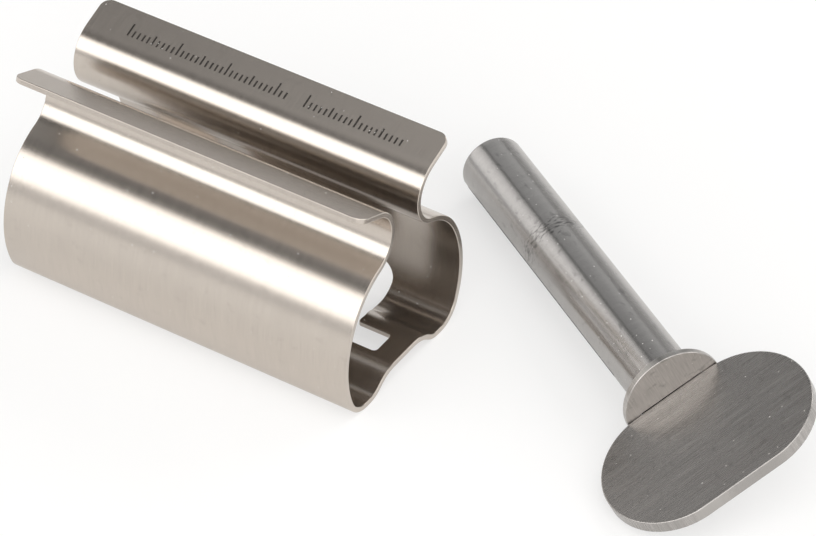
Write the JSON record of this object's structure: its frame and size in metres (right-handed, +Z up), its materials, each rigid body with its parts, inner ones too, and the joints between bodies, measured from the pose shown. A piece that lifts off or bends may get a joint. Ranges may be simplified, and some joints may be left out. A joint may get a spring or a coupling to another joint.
{
  "type": "toothpaste tube squeezer with stand",
  "caption": "Bent sheet squeezer that stands on a table and grips the flat end of a tube at its neck, with a loose slit-rod winding key.",
  "frame": {"origin": "middle of the flat under the squeezer's front foot, on the table", "axes": "+X along the squeezer's length towards the key's handle, +Y towards the back foot and the key, +Z up"},
  "size_m": [0.1424, 0.0718, 0.0413],
  "materials": {
    "bent_sheet": "satin, brushed round the bends",
    "turned_rod": "satin, fine turned rings",
    "collar_disc": "satin",
    "handle_plate": "satin, brushed across the rod"
  },
  "bodies": {
    "squeezer": {"squeezer_body": "bent_sheet"},
    "key": {"key_rod": "turned_rod", "key_collar": "collar_disc", "key_handle": "handle_plate"}
  },
  "joints": [
    {"name": "key_lift", "type": "slide", "parent": "squeezer", "child": "key", "axis": [0, 0, 1], "range_m": [0, 0.06]}
  ]
}
